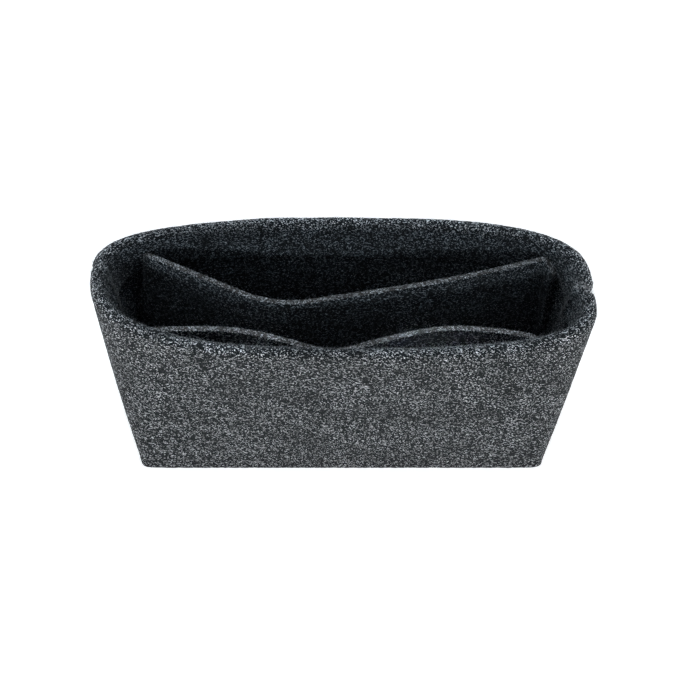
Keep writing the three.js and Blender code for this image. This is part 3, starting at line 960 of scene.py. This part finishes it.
# %% The floor
FLOOR_REACH = 4
FLOOR_GLOW = 0.85
WHITE = (1, 1, 1, 1)
FLOOR_FINISH = {"Base Color": (0.6, 0.6, 0.6, 1), "Roughness": 0.9, "Emission Color": WHITE}


def camera_share(tree):
    path = add_node(tree, "ShaderNodeLightPath").outputs
    seen = calculate(tree, "MAXIMUM", path["Is Camera Ray"], path["Is Glossy Ray"])
    return calculate(tree, "MAXIMUM", seen, path["Is Transmission Ray"])


def make_floor():
    shape = bmesh.new()
    bmesh.ops.create_grid(shape, x_segments=1, y_segments=1, size=FLOOR_REACH)
    mesh = bpy.data.meshes.new("floor")
    shape.to_mesh(mesh)
    shape.free()
    floor = bpy.data.objects.new("floor", mesh)
    bpy.context.scene.collection.objects.link(floor)
    white, tree, shader = new_material("white floor", FLOOR_FINISH)
    glow = calculate(tree, "MULTIPLY", camera_share(tree), FLOOR_GLOW)
    tree.links.new(glow, shader.inputs["Emission Strength"])
    mesh.materials.append(white)


make_floor()
print("the floor reaches", FLOOR_REACH, "m to each side")

# %% The world
AMBIENT = (0.084, 0.126, 0.16, 1)
world = bpy.data.worlds.new("studio")
world.use_nodes = True
bpy.context.scene.world = world
studio = world.node_tree
seen = {0: camera_share(studio), 6: AMBIENT, 7: WHITE}
ambient = add_node(studio, "ShaderNodeMix", seen, data_type="RGBA")
studio.links.new(ambient.outputs[2], studio.nodes["Background"].inputs["Color"])
print("the world has", len(studio.nodes), "nodes")

# %% Soft lights
HEM_COLOUR, INNER_COLOUR, TOP_COLOUR = (0.8, 1, 1.15), (0.82, 1, 1.16), (0.87, 1, 1.09)
POCKET_BEAMS = ((mm(-52), mm(50)), (mm(48), mm(66)))


def soft_light(name, place, width, height, power, colour=(1, 1, 1), spread=180, aim=(0, 0, mm(50))):
    lamp = bpy.data.lights.new(name, "AREA")
    lamp.shape = "RECTANGLE"
    lamp.size, lamp.size_y = width, height
    lamp.energy = power
    lamp.color = colour
    lamp.spread = math.radians(spread)
    made = bpy.data.objects.new(name, lamp)
    made.location = place
    made.visible_camera = False
    made.rotation_mode = "QUATERNION"
    made.rotation_quaternion = (Vector(aim) - Vector(place)).to_track_quat("-Z", "Y")
    bpy.context.scene.collection.objects.link(made)


soft_light("front light", (0, -0.5, 0.083), 1, 0.05, 1.7)
soft_light("hem light", (-0.3, -1.5, 0.48), 0.8, 0.06, 4.6, HEM_COLOUR)
soft_light("fill light", (-1.2, -0.75, 0.65), 0.3, 0.12, 0.9, INNER_COLOUR)
for x, width in POCKET_BEAMS:
    soft_light("pocket light", (x, -0.33, 0.43), width, 0.014, 0.02 * width, INNER_COLOUR,
               spread=2, aim=(x, mm(-27), mm(75)))
soft_light("left light", (-1.5, 0, 0.06), 1.2, 0.1, 10)
soft_light("right light", (1.5, 0, 0.06), 1.2, 0.1, 10)
soft_light("back light", (0, 1.5, 0.06), 1.6, 0.1, 14)
soft_light("top light", (0, 0.2, 1.3), 0.8, 0.1, 5, TOP_COLOUR)
print(len(bpy.data.lights), "lights stand round the insert")

# %% The camera at the photograph's view
ELEVATION = math.radians(46)
DISTANCE = mm(700)
FOCAL_PIXELS, PICTURE_PIXELS = 1480, 700
SENSOR_WIDTH = 36
AIM_POINT, AIM_DROP = Vector((mm(4.0), 0, mm(45))), mm(2.4)
back = Vector((0, -math.cos(ELEVATION), math.sin(ELEVATION)))
upwards = Vector((0, math.sin(ELEVATION), math.cos(ELEVATION)))
aim = AIM_POINT - upwards * AIM_DROP
lens = bpy.data.cameras.new("camera")
lens.sensor_width = SENSOR_WIDTH
lens.lens = FOCAL_PIXELS * SENSOR_WIDTH / PICTURE_PIXELS
camera = bpy.data.objects.new("camera", lens)
camera.location = aim + back * DISTANCE
camera.rotation_mode = "QUATERNION"
camera.rotation_quaternion = (-back).to_track_quat("-Z", "Y")
bpy.context.scene.collection.objects.link(camera)
bpy.context.scene.camera = camera
bpy.context.scene.view_settings.view_transform = "Standard"
print("the camera's lens is", round(lens.lens, 1), "mm long")
